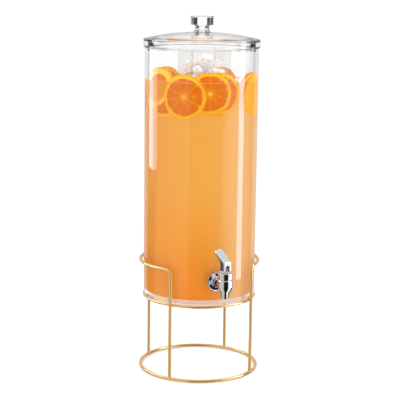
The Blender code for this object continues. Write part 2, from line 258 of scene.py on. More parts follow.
class Nodes:
    """Short hand for building one material's node tree."""

    def __init__(self, name):
        self.mat = bpy.data.materials.new(name)
        self.mat.use_nodes = True
        self.tree = self.mat.node_tree
        self.shader = self.tree.nodes["Principled BSDF"]
        self.out = self.tree.nodes["Material Output"]

    def add(self, kind, **values):
        node = self.tree.nodes.new("ShaderNode" + kind)
        for key, value in values.items():
            if key in node.inputs:
                node.inputs[key].default_value = value
            else:
                setattr(node, key, value)
        return node

    def link(self, source, target):
        self.tree.links.new(source, target)

    def set(self, **values):
        for key, value in values.items():
            self.shader.inputs[key.replace("_", " ")].default_value = value

    def coords(self, scale):
        coord = self.add("TexCoord")
        mapping = self.add("Mapping")
        mapping.inputs["Scale"].default_value = scale
        self.link(coord.outputs["Object"], mapping.inputs["Vector"])
        return mapping.outputs["Vector"]

    def noise(self, scale, detail=3.0, stretch=(1, 1, 1)):
        node = self.add("TexNoise", Scale=scale, Detail=detail)
        self.link(self.coords(stretch), node.inputs["Vector"])
        return node.outputs["Fac"]

    def ramp(self, source, stops, target=None):
        node = self.add("ValToRGB")
        fill_ramp(node, stops)
        self.link(source, node.inputs["Fac"])
        if target:
            self.link(node.outputs["Color"], target)
        return node.outputs["Color"]

    def bump(self, height, strength, distance):
        node = self.add("Bump", Strength=strength, Distance=distance)
        self.link(height, node.inputs["Height"])
        self.link(node.outputs["Normal"], self.shader.inputs["Normal"])

    def maths(self, operation, first, second):
        node = self.add("Math", operation=operation)
        self.link(first, node.inputs[0])
        if isinstance(second, float):
            node.inputs[1].default_value = second
        else:
            self.link(second, node.inputs[1])
        return node.outputs[0]

    def spread(self, source, low, high):
        """Stretches the range from low to high into 0 to 1."""
        node = self.add("MapRange")
        node.inputs["From Min"].default_value, node.inputs["From Max"].default_value = low, high
        self.link(source, node.inputs["Value"])
        return node.outputs["Result"]

    def blend(self, share, first, second):
        """Gives the surface this share of the second shader. The share is a socket or a number."""
        mix = self.add("MixShader")
        if isinstance(share, float):
            mix.inputs["Fac"].default_value = share
        else:
            self.link(share, mix.inputs["Fac"])
        self.link(first.outputs[0], mix.inputs[1])
        self.link(second.outputs[0], mix.inputs[2])
        self.link(mix.outputs[0], self.out.inputs["Surface"])


def gold_wire():
    n = Nodes("gold_wire")
    n.set(Metallic=0.72)
    n.ramp(n.noise(60, stretch=(1, 1, 0.3)), [(0.3, (0.82, 0.54, 0.21)), (0.7, (0.90, 0.61, 0.26))],
           n.shader.inputs["Base Color"])
    n.ramp(n.noise(900), [(0.3, 0.14), (0.75, 0.26)], n.shader.inputs["Roughness"])
    n.bump(n.noise(1500), 0.05, 0.0002)
    return n.mat


def chrome(name="chrome", colour=(0.84, 0.84, 0.86)):
    n = Nodes(name)
    n.set(Metallic=1.0)
    darker = tuple(0.94 * c for c in colour)
    n.ramp(n.noise(120), [(0.3, darker), (0.7, colour)], n.shader.inputs["Base Color"])
    n.ramp(n.noise(1200), [(0.35, 0.03), (0.8, 0.09)], n.shader.inputs["Roughness"])
    n.bump(n.noise(700), 0.03, 0.0002)
    return n.mat


def acrylic(name, tint=(1, 1, 1), clarity=1.0):
    """Clear plastic. Light on its way to the drink goes straight through, without caustics."""
    n = Nodes(name)
    n.set(Roughness=0.012, IOR=1.49, Transmission_Weight=clarity)
    n.ramp(n.noise(9, stretch=(1, 1, 0.2)), [(0.2, tuple(0.985 * c for c in tint)), (0.8, tint)],
           n.shader.inputs["Base Color"])
    n.bump(n.noise(14, detail=1.0, stretch=(1, 1, 0.15)), 0.08, 0.0004)
    path = n.add("LightPath")
    clear = n.add("BsdfTransparent", Color=(0.99, 0.99, 0.99, 1))
    passing = n.maths("MAXIMUM", path.outputs["Is Shadow Ray"], path.outputs["Is Diffuse Ray"])
    n.blend(passing, n.shader, clear)
    return n.mat


def chamber_acrylic():
    """Thin clear sheet. The square tube's corners are painted tan, standing in for the light that runs along
    inside them.
    """
    n = Nodes("thin_clear_acrylic")
    n.set(Roughness=0.012, IOR=1.49, Transmission_Weight=1.0)
    n.bump(n.noise(14, detail=1.0, stretch=(1, 1, 0.15)), 0.08, 0.0004)
    lo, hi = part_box("ice_tube_floor")
    coord = n.add("TexCoord")
    place = n.add("Mapping", vector_type="TEXTURE")
    place.inputs["Location"].default_value = ((lo.x + hi.x) / 2, (lo.y + hi.y) / 2, 0)
    place.inputs["Rotation"].default_value = (0, 0, CHAMBER_TURN)
    n.link(coord.outputs["Object"], place.inputs["Vector"])
    size = n.add("VectorMath", operation="ABSOLUTE")
    n.link(place.outputs["Vector"], size.inputs[0])
    split = n.add("SeparateXYZ")
    n.link(size.outputs["Vector"], split.inputs["Vector"])
    corner_from, corner_to, straight_share = 0.0325, 0.0340, 0.86
    # painted shade: the see-through share turns tan towards the tube's corners
    corner = n.spread(n.maths("MINIMUM", split.outputs["X"], split.outputs["Y"]), corner_from, corner_to)
    clear = n.add("BsdfTransparent")
    n.ramp(corner, [(0.2, (0.99, 0.99, 0.99)), (0.8, (0.86, 0.84, 0.77))], clear.inputs["Color"])
    path = n.add("LightPath")
    n.blend(n.maths("MAXIMUM", path.outputs["Is Diffuse Ray"], straight_share), n.shader, clear)
    return n.mat


def plastic(name, colour, roughness):
    n = Nodes(name)
    n.set(Roughness=roughness)
    darker = tuple(0.9 * c for c in colour)
    n.ramp(n.noise(200), [(0.3, darker), (0.7, colour)], n.shader.inputs["Base Color"])
    n.bump(n.noise(1800), 0.1, 0.0001)
    return n.mat


def drink():
    """Deeper towards the bottom. Painted light and shade across the drink: paler towards the bright side of
    the room, darker towards the other side.
    """
    n = Nodes("orange_drink")
    n.set(Roughness=0.3, Specular_IOR_Level=0.2)
    split = n.add("SeparateXYZ")
    mapping = n.add("Mapping")
    coord = n.add("TexCoord")
    mapping.inputs["Rotation"].default_value = (0, 0, -CAMERA_AZIMUTH)
    n.link(coord.outputs["Object"], mapping.inputs["Vector"])
    n.link(mapping.outputs["Vector"], split.inputs["Vector"])
    up = n.spread(split.outputs["Z"], 0.15, DRINK_TOP)
    across = n.spread(split.outputs["X"], -0.1, 0.1)
    depth = n.ramp(up, [
        (0.0, (0.78, 0.222, 0.013)), (0.12, (0.77, 0.252, 0.017)), (0.3, (0.75, 0.310, 0.031)),
        (0.5, (0.74, 0.368, 0.056)), (1.0, (0.735, 0.372, 0.064))])
    # painted light and shade: this ramp pales the drink towards the bright side and darkens it towards the
    # other
    side_light_and_shade = n.ramp(across, [
        (0.1, (0.66, 0.245, 0.020)), (0.5, (0.72, 0.35, 0.048)),
        (0.8, (0.72, 0.430, 0.135)), (1.0, (0.75, 0.48, 0.22))])
    share = n.ramp(across, [(0.1, 0.6), (0.45, 0.0), (0.6, 0.2), (0.8, 0.75)])
    side = n.add("Mix", data_type="RGBA")
    n.link(share, side.inputs["Factor"])
    n.link(depth, side.inputs["A"])
    n.link(side_light_and_shade, side.inputs["B"])
    n.link(side.outputs["Result"], n.shader.inputs["Base Color"])
    return n.mat


def thin_drink(name, colour, amount):
    """Thin layer of drink, for instance between a slice and the wall."""
    n = Nodes(name)
    n.set(Roughness=0.4, Specular_IOR_Level=0.0)
    darker = tuple(0.94 * c for c in colour)
    n.ramp(n.noise(8), [(0.3, darker), (0.7, colour)], n.shader.inputs["Base Color"])
    n.blend(amount, n.add("BsdfTransparent"), n.shader)
    return n.mat


def drink_top():
    """Still surface: it mirrors the room at a low angle, as a liquid does."""
    n = Nodes("drink_top")
    n.set(Roughness=0.05, IOR=1.5)
    n.ramp(n.noise(12), [(0.3, (0.84, 0.33, 0.05)), (0.7, (0.90, 0.40, 0.08))], n.shader.inputs["Base Color"])
    n.bump(n.noise(30, detail=1.0), 0.15, 0.001)
    return n.mat


def pulp():
    """Juice sacs run out from the slice's centre, so the pattern is drawn along the angle and the radius."""
    n = Nodes("orange_pulp")
    n.set(Roughness=0.32, Specular_IOR_Level=0.12)
    coord = n.add("TexCoord")
    split = n.add("SeparateXYZ")
    n.link(coord.outputs["Object"], split.inputs["Vector"])
    angle = n.maths("ARCTAN2", split.outputs["Y"], split.outputs["X"])
    out = n.add("VectorMath", operation="LENGTH")
    n.link(coord.outputs["Object"], out.inputs[0])
    round_and_out = n.add("CombineXYZ")
    n.link(angle, round_and_out.inputs["X"])
    n.link(out.outputs["Value"], round_and_out.inputs["Y"])
    stretch = n.add("Mapping")
    stretch.inputs["Scale"].default_value = (14, 160, 1)
    n.link(round_and_out.outputs["Vector"], stretch.inputs["Vector"])
    sacs = n.add("TexNoise", Scale=1.0, Detail=3.0)
    n.link(stretch.outputs["Vector"], sacs.inputs["Vector"])
    n.ramp(sacs.outputs["Fac"],
           [(0.30, (0.57, 0.100, 0.003)), (0.52, (0.65, 0.138, 0.005)), (0.78, (0.74, 0.20, 0.009))],
           n.shader.inputs["Base Color"])
    n.bump(sacs.outputs["Fac"], 0.35, 0.0008)
    return n.mat


def peel(name, low, high, roughness=0.38):
    n = Nodes(name)
    n.set(Roughness=roughness, Specular_IOR_Level=0.12)
    n.ramp(n.noise(260), [(0.3, low), (0.7, high)], n.shader.inputs["Base Color"])
    n.bump(n.noise(900), 0.3, 0.0005)
    return n.mat


def ice():
    """Wet lumps, brightened by a faint painted glow. The ramp's dark stop draws thin painted lines for the
    refracted edges of real ice.
    """
    n = Nodes("ice")
    n.set(Roughness=0.12, IOR=1.31, Transmission_Weight=0.08)
    # painted light: a faint glow makes the lumps brighter, though ice gives no light
    n.set(Emission_Color=(1, 1, 0.98, 1), Emission_Strength=0.06)
    # painted shade: the dark stop draws thin dark lines standing in for refracted edges
    n.ramp(n.noise(85, detail=1.5),
           [(0.30, (0.96, 0.96, 0.95)), (0.44, (0.97, 0.97, 0.96)), (0.485, (0.50, 0.47, 0.40)),
            (0.53, (0.97, 0.97, 0.96)), (0.70, (0.99, 0.99, 0.99))], n.shader.inputs["Base Color"])
    n.bump(n.noise(90), 0.35, 0.002)
    return n.mat


def crushed_ice():
    n = Nodes("crushed_ice")
    n.set(Roughness=0.25)
    n.ramp(n.noise(130), [(0.35, (0.90, 0.90, 0.89)), (0.65, (0.98, 0.98, 0.99))],
           n.shader.inputs["Base Color"])
    n.bump(n.noise(240), 0.6, 0.002)
    return n.mat


GOLD = gold_wire()
CHROME = chrome()
STEEL = chrome("steel", (0.62, 0.62, 0.63))
CLEAR = acrylic("clear_acrylic")
THIN_CLEAR = chamber_acrylic()
# painted light: the clear floor disc is tinted peach, standing in for the drink's colour that shows in it
FLOOR_CLEAR = acrylic("floor_clear_acrylic", tint=(0.75, 0.58, 0.46), clarity=0.35)
DRINK = drink()
DRINK_TOP_SKIN = drink_top()
PULP = pulp()
RIND = peel("orange_rind", (0.70, 0.24, 0.005), (0.78, 0.30, 0.008))
PITH = peel("orange_pith", (0.74, 0.38, 0.010), (0.82, 0.47, 0.018))
MEMBRANE = peel("orange_membrane", (0.69, 0.205, 0.008), (0.76, 0.26, 0.012))
INNER_PITH = peel("orange_inner_pith", (0.80, 0.42, 0.030), (0.88, 0.54, 0.070))
ICE = ice()
CRUSHED = crushed_ice()


# ---------------------------------------------------------------- stand
def build_stand():
    for name in ("base_ring", "support_ring"):
        lo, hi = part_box(name)
        wire_r = (hi.z - lo.z) / 2
        ring_r = (hi.x - lo.x) / 2 - wire_r
        centre_z = (lo.z + hi.z) / 2
        section = arc((ring_r, centre_z), wire_r, 0, 360 - 18, 19)
        piece(lathe(name + "_wire", section, JAR, GOLD, segments=224), "stand", name)
    for name, side in (("left_hoop", -1), ("right_hoop", 1)):
        path, radii = hoop_path(side)
        piece(sweep(name + "_wire", path, radii, 20, JAR, GOLD), "stand", name)


def hoop_path(side):
    """One wire: up the front leg, back along the jar's side, and down the rear leg."""
    def at(azimuth, radius, height):
        return Vector((side * radius * math.sin(azimuth), -radius * math.cos(azimuth), height))

    lo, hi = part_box("right_hoop")
    top_z, hoop_r = hi.z - WIRE_R, hi.x - WIRE_R
    sunk, weld_swell = 0.0012, (0.0012, 0.0005)
    foot_z, bend_z = lo.z - FIT - sunk, top_z - LEG_BEND_R
    start, end = LEG_AZIMUTHS
    bend_steps, side_steps = 12, 48
    leg = [(start, LEG_R, foot_z), (start, LEG_R, foot_z + 0.0008), (start, LEG_R, foot_z + 0.0022)]
    leg += [(start, LEG_R, foot_z + (bend_z - foot_z) * k / 4) for k in range(1, 4)]
    bend = []
    for k in range(bend_steps + 1):
        turn = math.pi / 2 * k / bend_steps
        run = LEG_BEND_R * (1 - math.cos(turn))
        radius = LEG_R + (hoop_r - LEG_R) * k / bend_steps
        bend.append((start + run / hoop_r, radius, bend_z + LEG_BEND_R * math.sin(turn)))
    first, last = bend[-1][0], start + end - bend[-1][0]
    middle = [(first + (last - first) * k / side_steps, hoop_r, top_z) for k in range(1, side_steps)]
    half = leg + bend
    mirrored = [(start + end - azimuth, radius, height) for azimuth, radius, height in reversed(half)]
    points = half + middle + mirrored
    radii = [WIRE_R] * len(points)
    for k, swell in enumerate(weld_swell):
        radii[k] += swell
        radii[-1 - k] += swell
    return [at(*point) for point in points], radii


# ---------------------------------------------------------------- jar and lid
def build_jar():
    edge = 0.0008
    profile = [(JAR_INNER_R, jar_lo.z)]
    profile += arc((JAR_R - edge, jar_lo.z + edge), edge, -90, 0, 4)
    profile += arc((JAR_R - edge, jar_hi.z - edge), edge, 0, 90, 4)
    profile += arc((JAR_INNER_R + edge, jar_hi.z - edge), edge, 90, 180, 4)
    wall = lathe("jar_tube", profile, JAR, CLEAR, segments=256)
    hole_r, cut_to = SHANK_R + FIT, 0.12
    hole = [(0, SHANK_END), (hole_r, SHANK_END), (hole_r, cut_to), (0, cut_to)]
    cutter = lathe("hole_cutter", hole, SHANK, None, 48)
    cut(wall, cutter)
    piece(wall, "jar", "jar_wall")
    radius = JAR_INNER_R - FIT
    disc = [(0, floor_lo.z), (radius, floor_lo.z), (radius, floor_hi.z), (0, floor_hi.z)]
    piece(lathe("jar_floor_disc", disc, JAR, FLOOR_CLEAR, segments=192), "jar", "jar_floor")


def build_lid():
    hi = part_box("lid")[1]
    dome_top, seat = hi.z, jar_hi.z + FIT

    def dome(radius):
        return dome_top - DOME_SPHERE_R + math.sqrt(DOME_SPHERE_R ** 2 - radius ** 2)

    start, ceiling_bend = hi.x - LID_EDGE, 0.004
    profile = [(LID_INNER_R, seat)] + arc((start, seat + LID_EDGE), LID_EDGE, -90, 0, 6)
    profile += arc((start, LID_RIM_TOP - LID_EDGE), LID_EDGE, 0, 72, 6)
    profile += [(start * k / 24, dome(start * k / 24)) for k in range(24, -1, -1)]
    ceiling_r = LID_INNER_R - ceiling_bend
    profile += [(ceiling_r * k / 20, dome(ceiling_r * k / 20) - DOME_THICK) for k in range(21)]
    profile += arc((ceiling_r, dome(LID_INNER_R) - DOME_THICK - ceiling_bend), ceiling_bend, 80, 0, 6)
    piece(lathe("lid_shell", profile, JAR, CLEAR, segments=256), "lid", "lid")

    lo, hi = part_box("lid_locating_ring")
    edge = 0.0005
    ring = [(LOCATING_INNER_R, lo.z)] + arc((hi.x - edge, lo.z + edge), edge, -90, 0, 3)
    ring += [(hi.x, hi.z), (LOCATING_INNER_R, hi.z)]
    piece(lathe("locating_ring", ring, JAR, CLEAR, segments=192), "lid", "lid_locating_ring")

    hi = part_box("lid_knob")[1]
    foot_z = dome(KNOB_FOOT_R) + FIT
    waist_z, throat_r = (KNOB_HEAD_BOTTOM + foot_z) / 2, 0.0032
    knob = [(KNOB_FOOT_R * k / 6, dome(KNOB_FOOT_R * k / 6) + FIT) for k in range(7)]
    for k in range(1, 13):
        turn = math.pi / 2 * k / 12
        radius = KNOB_FOOT_R - (KNOB_FOOT_R - KNOB_NECK_R) * math.sin(turn)
        knob.append((radius, foot_z + (waist_z - foot_z) * (1 - math.cos(turn))))
    knob += arc((KNOB_NECK_R + throat_r, KNOB_HEAD_BOTTOM - throat_r), throat_r, 180, 90, 6)
    knob += arc((hi.x - KNOB_EDGE, KNOB_HEAD_BOTTOM + KNOB_EDGE), KNOB_EDGE, -90, 0, 8)
    knob += arc((hi.x - KNOB_EDGE, hi.z - KNOB_EDGE), KNOB_EDGE, 0, 90, 8)
    knob.append((0, hi.z))
    piece(lathe("lid_knob_turned", knob, JAR, CLEAR, segments=128), "lid", "lid_knob")


# ---------------------------------------------------------------- tap
def build_tap():
    lo, hi = body_lo, body_hi
    outline = [
        (0.0063, lo.z), (0.0066, 0.1690), (0.0074, 0.1717), (0.0091, 0.1763), (0.0120, 0.1820),
        (0.0130, 0.1857), (BODY_R, 0.1890), (0.0129, 0.1947), (0.0126, 0.1984), (0.0120, 0.1997),
    ]
    lip = 0.0004
    shell = [(SPOUT_BORE_R, lo.z + lip), (SPOUT_BORE_R + lip, lo.z), (0.0058, lo.z)]
    shell += smooth_curve(outline, 8) + [(0.0113, hi.z), (CHAMBER_BORE_R, hi.z)]
    shell += [(CHAMBER_BORE_R, SEAT_TOP), (SPOUT_BORE_R, SEAT_BOTTOM)]
    piece(lathe("tap_body", shell, TAP, CHROME, segments=96), "jar", "faucet_body")
    near = AXIS_Y - TAP_Y - BODY_R + 0.0012
    shank = [(SHANK_BORE_R, SHANK_END), (SHANK_R, SHANK_END), (SHANK_R, near), (SHANK_BORE_R, near)]
    piece(lathe("tap_shank", shank, SHANK, CHROME, segments=64), "jar", "faucet_body")

    lo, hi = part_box("faucet_bonnet")
    seat, plug_r, low_edge, top_edge = body_hi.z + FIT, CHAMBER_BORE_R - FIT, 0.0011, 0.0012
    bonnet = [(STEM_HOLE_R, SPRING_ROOM_TOP), (SPRING_ROOM_R, SPRING_ROOM_TOP), (SPRING_ROOM_R, lo.z)]
    bonnet += [(plug_r, lo.z), (plug_r, seat)]
    bonnet += arc((hi.x - low_edge, seat + low_edge), low_edge, -90, 0, 6)
    bonnet += arc((hi.x - top_edge, hi.z - top_edge), top_edge, 0, 90, 6)
    bonnet += [(STEM_HOLE_R, hi.z)]
    piece(lathe("tap_bonnet", bonnet, TAP, CHROME, segments=96), "jar", "faucet_bonnet")

    lo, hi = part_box("wear_washer")
    radius, edge = hi.x, 0.0005
    washer = [(STEM_HOLE_R, lo.z)] + arc((radius - edge, lo.z + edge), edge, -90, 0, 4)
    washer += arc((radius - edge, hi.z - edge), edge, 0, 90, 4) + [(STEM_HOLE_R, hi.z)]
    tan = plastic("tan_plastic", (0.50, 0.40, 0.31), 0.25)
    piece(lathe("lever_bearing_ring", washer, TAP, tan, segments=72), "swivel", "wear_washer")
    build_flange()
    build_lever()
    build_spring()


def build_spring():
    """Five turns of wire, with the top end resting in the bonnet."""
    lo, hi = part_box("valve_spring")
    per_turn = 28
    steps = SPRING_TURNS * per_turn
    radius, low, high = (hi.x - lo.x) / 2 - SPRING_WIRE_R, lo.z + SPRING_WIRE_R, hi.z - SPRING_WIRE_R
    path = []
    for k in range(steps + 1):
        x, y = polar(radius, 2 * math.pi * k / per_turn)
        path.append(Vector((x, y, low + (high - low) * k / steps)))
    spring = sweep("tap_spring", path, [SPRING_WIRE_R] * len(path), 10, TAP, STEEL)
    piece(spring, "jar", "valve_spring")
    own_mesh(spring)


def build_flange():
    """Dished plate: a rounded rim, a flat dish and a hub, as (radius, distance from the jar's axis)."""
    lo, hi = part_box("faucet_flange")
    outer_r, hole_r = hi.x, SHANK_R + FIT
    back, front = AXIS_Y - hi.y, AXIS_Y - lo.y
    dish_z, bevel, rim_edge = 0.1060, 0.0006, 0.0009
    dish = [
        (outer_r - 0.0007, 0.1069), (outer_r - 0.0011, 0.1069), (outer_r - 0.0017, 0.1064),
        (outer_r - 0.0023, dish_z), (0.0112, dish_z), (0.0102, 0.1061), (0.0095, 0.1067),
        (0.0092, 0.1080), (0.0089, 0.1088), (0.0080, front),
    ]
    flange = [(hole_r, back), (outer_r - bevel, back), (outer_r, back + bevel)]
    flange += arc((outer_r - rim_edge, dish_z), rim_edge, 0, 60, 4)
    flange += smooth_curve(dish, 5) + [(hole_r, front)]
    piece(lathe("tap_flange", flange, SHANK, CHROME, segments=96), "jar", "faucet_flange")


def superellipse(half_x, half_y, power, count):
    def bend(value):
        return math.copysign(abs(value) ** (2 / power), value)

    angles = [2 * math.pi * (k + 0.5) / count for k in range(count)]
    return [(half_x * bend(math.cos(a)), half_y * bend(math.sin(a))) for a in angles]


def build_lever():
    """Forked block and thumb paddle. Stations: front u, front z, back u, back z, half width, squareness."""
    bottom, half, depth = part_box("faucet_lever")[0].z, LEVER_HALF_WIDTH, LEVER_HALF_DEPTH
    block = [(-depth, z, depth, z, half, 14.0) for z in (bottom, bottom + 0.0003)]
    block += [(-depth, 0.2200, depth, 0.2200, half, 14.0), (-depth, 0.2292, depth, 0.2270, half, 12.0)]
    paddle = [
        (-0.0061, 0.2304, 0.0066, 0.2292, half, 9.0), (-0.0050, 0.2316, 0.0082, 0.2308, half, 7.0),
        (-0.0015, 0.2340, 0.0108, 0.2328, 0.0076, 5.0), (0.0048, 0.2383, 0.0148, 0.2356, 0.0081, 4.0),
        (0.0110, 0.2428, 0.0190, 0.2385, 0.0086, 3.2), (0.0170, 0.2470, 0.0228, 0.2414, 0.0085, 2.8),
        (0.0205, 0.2492, 0.0250, 0.2438, 0.0075, 2.5), (0.0228, 0.2502, 0.0262, 0.2460, 0.0058, 2.3),
        (0.0243, 0.2503, 0.0265, 0.2476, 0.0036, 2.0), (0.0251, 0.2498, 0.0263, 0.2485, 0.0014, 2.0),
    ]
    stations = block + smooth_curve(paddle, 5)
    thumb_u, thumb_half_u, thumb_half_x, thumb_depth, thumb_from_z = 0.0125, 0.0075, 0.0056, 0.0011, 0.232
    sections = []
    for front_u, front_z, back_u, back_z, width, power in stations:
        front, back = Vector((0, front_u, front_z)), Vector((0, back_u, back_z))
        middle, half_depth = (front + back) / 2, (back - front).length / 2
        across = (back - front).normalized()
        section = []
        for x, y in superellipse(width, half_depth, power, 64):
            if y < 0 and front_z > thumb_from_z:
                thumb = math.hypot(x / thumb_half_x, (front_u - thumb_u) / thumb_half_u)
                y += thumb_depth * max(0.0, 1 - thumb ** 2)
            section.append(middle + Vector((x, 0, 0)) + across * y)
        sections.append(section)
    lever = loft("tap_lever", sections, LEVER, CHROME, sharp=30)
    slot = [(-FORK_HALF_SLOT, FORK_SLOT_TOP), (FORK_HALF_SLOT, FORK_SLOT_TOP)]
    slot += [(FORK_HALF_SLOT, 0.2), (-FORK_HALF_SLOT, 0.2)]
    cutter = loft("slot_cutter", [[(x, y, z) for x, z in slot] for y in (-0.03, 0.03)], LEVER, None)
    cut(lever, cutter)
    piece(lever, "lever", "faucet_lever")


# ---------------------------------------------------------------- drink, fruit and ice
WALL_R = JAR_INNER_R + 0.0001


def build_drink():
    film, bottom, under_skin = 0.0001, floor_hi.z + 0.0001, DRINK_TOP - DRINK_SKIN
    creep_z, creep_r, creep_run = DRINK_TOP + DRINK_CREEP, WALL_R - 0.0004, 0.004
    profile = [(0, bottom), (WALL_R, bottom), (WALL_R, creep_z), (creep_r, creep_z)]
    profile += [(creep_r, under_skin), (0, under_skin)]
    piece(lathe("drink", profile, JAR, DRINK, segments=192), "jar")
    haze_r, line_r, line_z = WALL_R + 0.0009, WALL_R + 0.0010, DRINK_TOP + 0.0011
    haze = [(haze_r, bottom), (haze_r, DRINK_TOP), (haze_r - film, DRINK_TOP), (haze_r - film, bottom)]
    haze_look = thin_drink("drink_haze", (0.84, 0.27, 0.014), 0.08)
    piece(lathe("drink_haze", haze, JAR, haze_look, segments=192), "jar")
    line = [(line_r, DRINK_TOP), (line_r, line_z), (line_r - film, line_z), (line_r - film, DRINK_TOP)]
    line_look = thin_drink("waterline", (0.90, 0.55, 0.25), 0.4)
    piece(lathe("waterline", line, JAR, line_look, segments=192), "jar")
    edge_r = WALL_R - 0.0005
    top = [(0, under_skin), (edge_r, under_skin)]
    top += [(edge_r - creep_run * k / 6, DRINK_TOP + DRINK_CREEP * (1 - k / 6) ** 2) for k in range(7)]
    top += [(0.05, DRINK_TOP), (0, DRINK_TOP)]
    piece(lathe("drink_surface", top, JAR, DRINK_TOP_SKIN, segments=192), "jar")


# name, angle round the wall from the camera side, height, radius along the wall, radius upright, lean, layer,
# turn, radius of the flesh as a share of the slice, how much drink lies in front of the part under water
FRUIT = [
    ("front", -18.2, 0.5060, 0.0385, 0.0391, 0.0, 3, 0.2, 0.83, 0.0),
    ("front_right", 9.0, 0.5127, 0.0385, 0.0365, 0.0, 2, 0.5, 0.83, 0.0),
    ("right", 20.5, 0.5125, 0.0368, 0.0365, 0.0, 1, 0.9, 0.83, 0.0),
    ("left", -53.0, 0.5195, 0.0350, 0.0360, 0.30, 2, 0.1, 0.70, 0.88),
    ("left_low", -43.0, 0.5050, 0.0370, 0.0365, 0.0, 1, 0.4, 0.83, 0.0),
    ("right_deep", 66.0, 0.5100, 0.0365, 0.0363, 0.0, 1, 0.3, 0.83, 0.0),
    ("back_right", 156.0, 0.5100, 0.0380, 0.0380, 0.0, 1, 0.7, 0.83, 0.0),
    ("back_left", -132.0, 0.5110, 0.0390, 0.0380, 0.0, 1, 0.0, 0.83, 0.0),
    ("back", 186.0, 0.5020, 0.0385, 0.0375, 0.0, 2, 0.6, 0.83, 0.0),
    ("far_right", 113.0, 0.4960, 0.0370, 0.0360, 0.0, 2, 0.2, 0.83, 0.0),
    ("far_left", -93.0, 0.4950, 0.0375, 0.0365, 0.0, 1, 0.8, 0.83, 0.0),
]
SLICE_THICK = 0.0045


def build_fruit():
    for row in FRUIT:
        slice_of_orange(*row)
    end_cap()


class WallPatch:
    """Places points of a flat drawing (along the wall, up, inwards) on the inside of the jar's wall."""

    def __init__(self, angle, height, half_s, half_t, lean=0.0):
        self.angle = CAMERA_AZIMUTH + math.radians(angle)
        self.height, self.half_s, self.half_t, self.lean = height, half_s, half_t, lean
        place = Matrix.Translation((0, -JAR_INNER_R, height))
        self.matrix = JAR @ Matrix.Rotation(self.angle, 4, "Z") @ place @ UPRIGHT
        self.inverse = self.matrix.inverted()

    def point(self, s, t, depth):
        along = s * self.half_s + self.lean * t * self.half_t
        angle = self.angle + along / JAR_INNER_R
        radius, height = JAR_INNER_R - depth, self.height + t * self.half_t
        return self.inverse @ Vector((radius * math.sin(angle), AXIS_Y - radius * math.cos(angle), height))


def scaled(outline, factor):
    return [(factor * x, factor * y) for x, y in outline]


def plate(bm, patch, outline, front, back, rings, material, centre=(0, 0)):
    """Thin plate with this outline, both faces following the wall."""
    for depth in (front, back):
        inner = bm.verts.new(patch.point(*centre, depth))
        previous = None
        for k in range(1, rings + 1):
            ring = [bm.verts.new(patch.point(
                centre[0] + (x - centre[0]) * k / rings, centre[1] + (y - centre[1]) * k / rings, depth))
                for x, y in outline]
            count = len(ring)
            for i in range(count):
                corners = (ring[i], ring[(i + 1) % count])
                corners += (previous[(i + 1) % count], previous[i]) if previous else (inner,)
                bm.faces.new(corners).material_index = material
            previous = ring
        if depth == front:
            first = previous
    for i in range(count):
        j = (i + 1) % count
        bm.faces.new((first[i], first[j], previous[j], previous[i])).material_index = material


def rounded(points, times):
    """Cuts the corners of a closed outline again and again, until they look round."""
    for _ in range(times):
        out = []
        for a, b in zip(points, points[1:] + points[:1]):
            out += [(0.8 * a[0] + 0.2 * b[0], 0.8 * a[1] + 0.2 * b[1])]
            out += [(0.2 * a[0] + 0.8 * b[0], 0.2 * a[1] + 0.8 * b[1])]
        points = out
    return points


def slice_of_orange(name, angle, height, half_s, half_t, lean, layer, turn, flesh, veil):
    """Slice against the wall: plates a few hundredths of a millimetre proud of each other, rind to pulp."""
    patch = WallPatch(angle, height, half_s, half_t, lean)
    face = -0.00012 - 0.00016 * layer
    rind, pith, pulp_index, membrane, inner_pith = range(5)
    bm = bmesh.new()
    disc = [polar(1 + 0.012 * math.sin(3 * a + turn * 9) + 0.008 * math.sin(7 * a), a)
            for a in ring_angles(72)]
    plate(bm, patch, disc, face, SLICE_THICK, 9, rind)
    plate(bm, patch, scaled(disc, 0.965), face - 0.00004, SLICE_THICK + 0.0003, 9, pith)
    if flesh < 0.8:
        plate(bm, patch, scaled(disc, 0.91), face - 0.00005, SLICE_THICK + 0.0004, 9, inner_pith)
    plate(bm, patch, scaled(disc, flesh - 0.045), face - 0.00006, SLICE_THICK + 0.0004, 7, membrane)
    count, gap, tooth_half, core_r = 10, 0.006, 0.045, 0.075
    for k in range(count):
        start = 2 * math.pi * (k + turn) / count + random.uniform(-0.03, 0.03)
        end = 2 * math.pi * (k + 1 + turn) / count + random.uniform(-0.03, 0.03)
        edge_r = flesh + random.uniform(-0.014, 0.014)
        tip_r = edge_r - random.uniform(0.07, 0.14)
        tooth = [polar(edge_r + 0.03, start - tooth_half), polar(tip_r, start)]
        tooth += [polar(edge_r + 0.03, start + tooth_half)]
        plate(bm, patch, tooth, face - 0.00011, SLICE_THICK + 0.0007, 1, inner_pith, polar(edge_r, start))
        middle = (start + end) / 2
        points = [polar(core_r + gap, middle)]
        for j in range(7):
            a = start + (end - start) * j / 6
            side = gap if j == 0 else -gap if j == 6 else 0
            x, y = polar(edge_r, a)
            points.append((x - side * math.sin(a), y + side * math.cos(a)))
        wedge = rounded(points, 2)
        plate(bm, patch, wedge, face - 0.00009, SLICE_THICK + 0.0006, 4, pulp_index, polar(0.5, middle))
    star = [polar(0.085 * (1 + 0.35 * math.sin(5 * a + turn)), a) for a in ring_angles(30)]
    plate(bm, patch, star, face - 0.00012, SLICE_THICK + 0.0008, 2, inner_pith)
    obj = add_object("orange_slice_" + name, bm, patch.matrix, RIND)
    for mat in (PITH, PULP, MEMBRANE, INNER_PITH):
        obj.data.materials.append(mat)
    piece(obj, "jar")
    if veil:
        surface, wet_r = (DRINK_TOP - height) / half_t, flesh + 0.02
        bm = bmesh.new()
        wet = [(x, min(y, surface)) for x, y in scaled(disc, wet_r)]
        plate(bm, patch, wet, face - 0.00018, face - 0.00014, 5, 0, (0, -0.3))
        look = thin_drink("drink_over_" + name, (0.76, 0.32, 0.020), veil)
        piece(add_object("drink_over_" + name, bm, patch.matrix, look), "jar")


